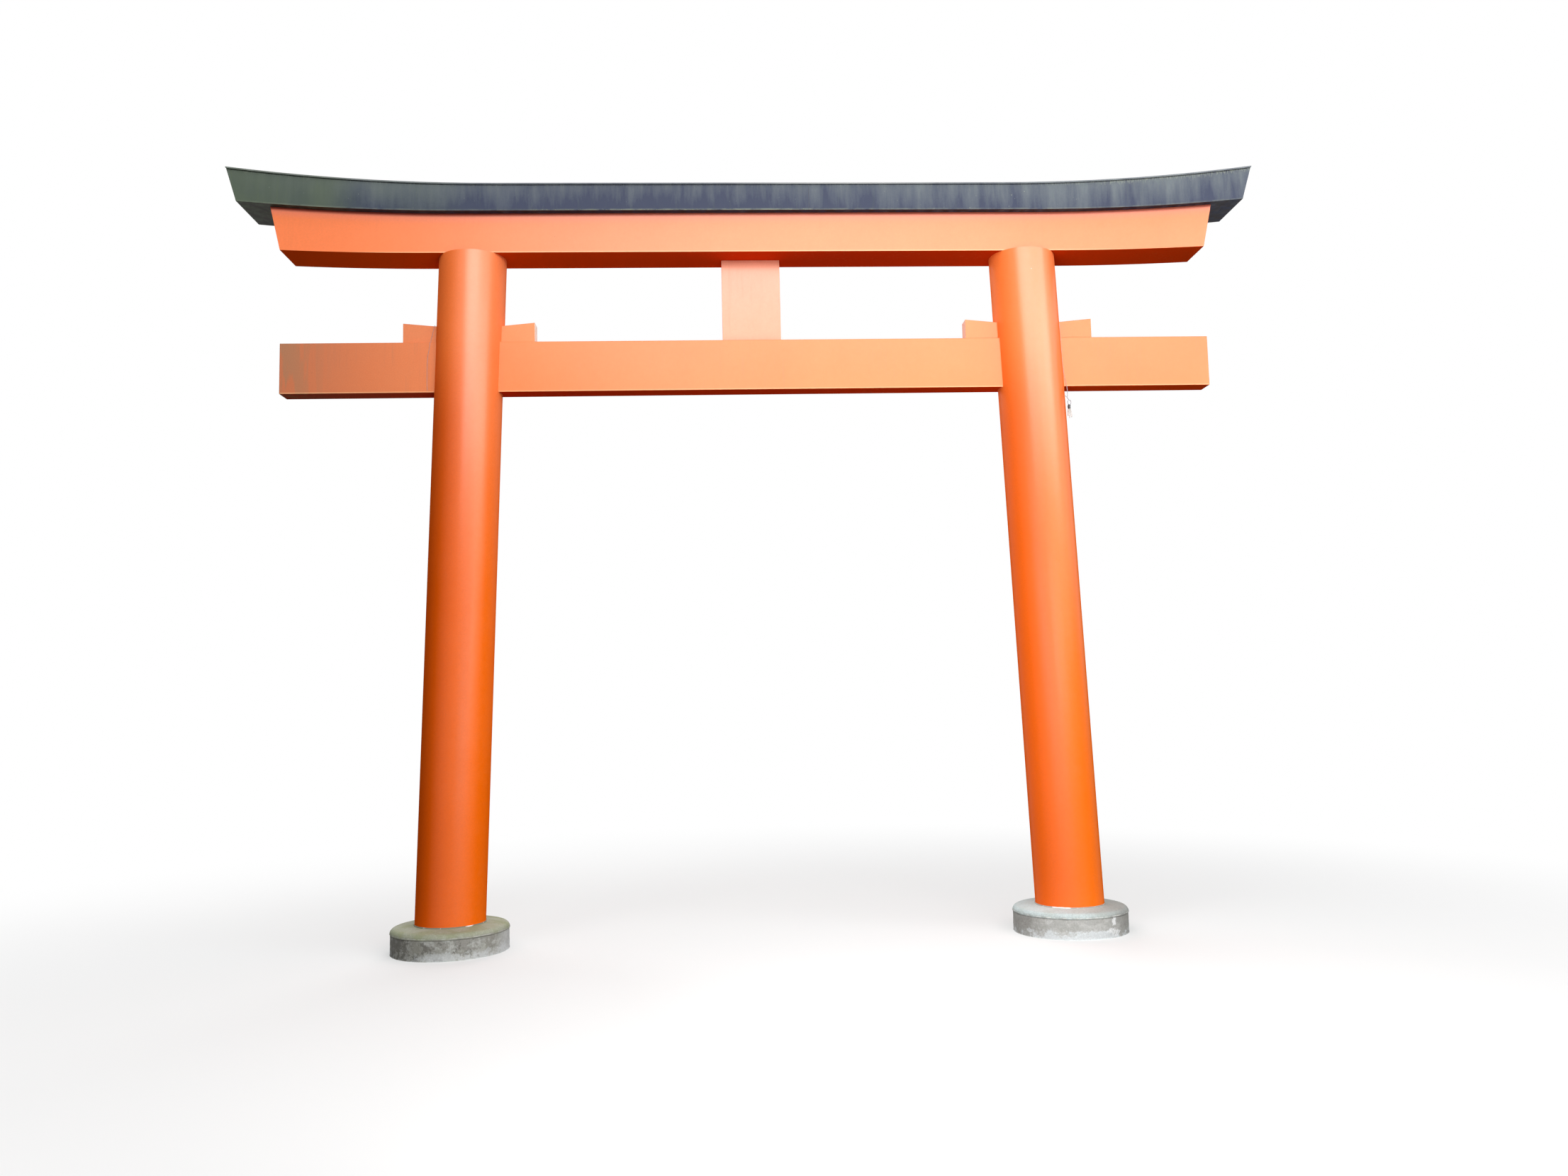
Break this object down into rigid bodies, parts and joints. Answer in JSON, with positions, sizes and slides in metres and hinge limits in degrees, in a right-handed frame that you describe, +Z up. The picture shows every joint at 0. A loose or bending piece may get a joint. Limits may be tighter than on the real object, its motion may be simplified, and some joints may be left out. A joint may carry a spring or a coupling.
{
  "type": "torii gate",
  "caption": "Free-standing shrine gate: leaning round pillars on round bases, wedged tie beam, centre strut, lower lintel and upswept top lintel clad in sheet metal.",
  "frame": {"origin": "centre of the gate on the ground, midway between the pillars, at the level of the bases' undersides", "axes": "+X along the gate to the right as seen from the front, +Y through the gate away from the viewer (the front faces -Y), +Z up"},
  "size_m": [10.903, 1.18, 8.1605],
  "materials": {
    "vermilion": "gloss vermilion paint, weathered on top",
    "cladding": "satin slate-grey sheet, streaked",
    "soffit": "satin slate-grey sheet",
    "concrete": "trowelled concrete with moss stains",
    "mortar": "white pointing mortar",
    "core": "primer, hidden under the cladding"
  },
  "bodies": {
    "root": {"left_base_drum": "concrete", "right_base_drum": "concrete", "left_base_shoulder": "concrete", "right_base_shoulder": "concrete", "left_foot_mortar": "mortar", "right_foot_mortar": "mortar", "left_pillar": "vermilion", "right_pillar": "vermilion", "tie_beam": "vermilion", "left_outer_wedge": "vermilion", "left_inner_wedge": "vermilion", "right_inner_wedge": "vermilion", "right_outer_wedge": "vermilion", "centre_strut": "vermilion", "lower_lintel": "vermilion", "top_lintel_core_left": "core", "top_lintel_core_middle": "core", "top_lintel_core_right": "core", "front_fascia_left": "cladding", "front_fascia_right": "cladding", "back_fascia_left": "cladding", "back_fascia_right": "cladding", "left_end_plate": "cladding", "right_end_plate": "cladding", "front_soffit": "soffit", "back_soffit": "soffit", "left_soffit": "soffit", "right_soffit": "soffit", "front_roof_sheet": "cladding", "back_roof_sheet": "cladding", "ridge_cap": "cladding"}
  },
  "joints": []
}
